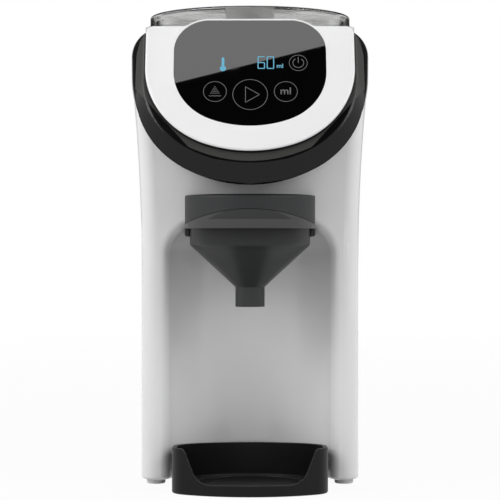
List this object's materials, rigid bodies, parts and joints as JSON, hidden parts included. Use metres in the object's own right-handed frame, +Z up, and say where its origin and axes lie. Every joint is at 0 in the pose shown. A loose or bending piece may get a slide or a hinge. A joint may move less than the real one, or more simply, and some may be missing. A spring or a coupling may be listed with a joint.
{
  "type": "baby formula maker",
  "caption": "White countertop formula maker: black collar, tilted touch face, clear powder container, sliding funnel over a bottle bay, drip tray and lift-off water tank.",
  "frame": {"origin": "bottom centre of the machine's bounding box, on the surface it stands on", "axes": "+X to the right as seen from the front, +Y to the rear (the face looks along -Y), +Z up"},
  "size_m": [0.155, 0.288, 0.305],
  "materials": {
    "white_gloss": "glossy white moulded ABS",
    "black_gloss": "piano black gloss",
    "face_white": "satin white bezel",
    "smoked_glass": "black touch glass with printed legends",
    "display": "display and control board, dark",
    "circuit_board": "green solder mask",
    "deck_white": "white moulded deck",
    "clear": "clear copolyester",
    "lid_clear": "clear copolyester lid",
    "tank_smoke": "smoked clear tank",
    "funnel_smoke": "dark smoked translucent",
    "hood_grey": "dark grey satin",
    "tray_black": "black matte",
    "white_part": "white food-grade moulding",
    "grey_part": "grey moulding",
    "black_part": "black moulding",
    "rubber": "pale grey rubber",
    "silicone": "translucent silicone",
    "steel": "zinc plated steel",
    "brass": "brass",
    "aluminium": "die-cast aluminium"
  },
  "bodies": {
    "machine": {"front_shell": "white_gloss", "rear_shell": "white_gloss", "base_plate": "white_part", "base_screws": "steel", "rubber_feet": "rubber", "upper_collar": "black_gloss", "face_bezel": "face_white", "glass_panel": "smoked_glass", "display_module": "display", "control_board": "circuit_board", "top_deck": "deck_white", "container_well": "white_part", "gear_motor": "steel", "powder_chute": "white_part", "dispense_hood": "hood_grey", "water_nozzle": "silicone", "tank_seat": "black_part", "water_pump": "black_part", "water_heater": "aluminium", "heater_bracket": "steel", "thermostat": "black_part", "hose_tank_to_pump": "silicone", "hose_pump_to_heater": "silicone", "hose_heater_to_nozzle": "silicone", "main_board": "circuit_board", "board_standoffs": "brass", "power_inlet": "black_part", "inlet_pins": "brass"},
    "container": {"powder_container": "clear", "container_floor": "clear", "dosing_base": "white_part", "lid_hinge_pin": "steel"},
    "rotor": {"dosing_disc": "white_part", "stirring_wheel": "grey_part"},
    "lid": {"powder_lid": "lid_clear"},
    "pinion": {"drive_pinion": "white_part"},
    "funnel": {"funnel": "funnel_smoke"},
    "tray": {"drip_tray": "tray_black"},
    "tank": {"water_tank": "tank_smoke", "valve_cage": "white_part", "valve_spring": "steel", "tank_seal": "silicone", "float_stop": "white_part", "tank_lid_pin": "steel"},
    "tank_cover": {"tank_lid": "black_part"},
    "valve": {"tank_valve": "white_part"},
    "float": {"level_float": "white_part"}
  },
  "joints": [
    {"name": "container_lift", "type": "slide", "parent": "machine", "child": "container", "axis": [0, 0, 1], "range_m": [0, 0.1]},
    {"name": "metering_spin", "type": "hinge", "parent": "container", "child": "rotor", "pos_m": [0, -0.024, 0.215], "axis": [0, 0, 1], "continuous": true},
    {"name": "pinion_spin", "type": "hinge", "parent": "machine", "child": "pinion", "pos_m": [0, 0.021, 0.215], "axis": [0, 0, 1], "continuous": true},
    {"name": "powder_lid_hinge", "type": "hinge", "parent": "container", "child": "lid", "pos_m": [0, 0.0477, 0.297], "axis": [-1, 0, 0], "range_deg": [0, 95]},
    {"name": "funnel_slide", "type": "slide", "parent": "machine", "child": "funnel", "axis": [0, -1, 0], "range_m": [0, 0.09]},
    {"name": "tray_slide", "type": "slide", "parent": "machine", "child": "tray", "axis": [0, -1, 0], "range_m": [0, 0.1]},
    {"name": "tank_lift", "type": "slide", "parent": "machine", "child": "tank", "axis": [0, 0, 1], "range_m": [0, 0.26]},
    {"name": "tank_lid_hinge", "type": "hinge", "parent": "tank", "child": "tank_cover", "pos_m": [0, 0.1416, 0.286], "axis": [-1, 0, 0], "range_deg": [0, 90]},
    {"name": "valve_slide", "type": "slide", "parent": "tank", "child": "valve", "axis": [0, 0, 1], "range_m": [0, 0.003], "stiffness_N_per_m": 60, "springref_m": -0.002, "deforming": ["valve_spring"]},
    {"name": "float_slide", "type": "slide", "parent": "tank", "child": "float", "axis": [0, 0, 1], "range_m": [0, 0.02]}
  ],
  "couplings": [
    {"joint": "pinion_spin", "follows": "metering_spin", "ratio": -4}
  ]
}
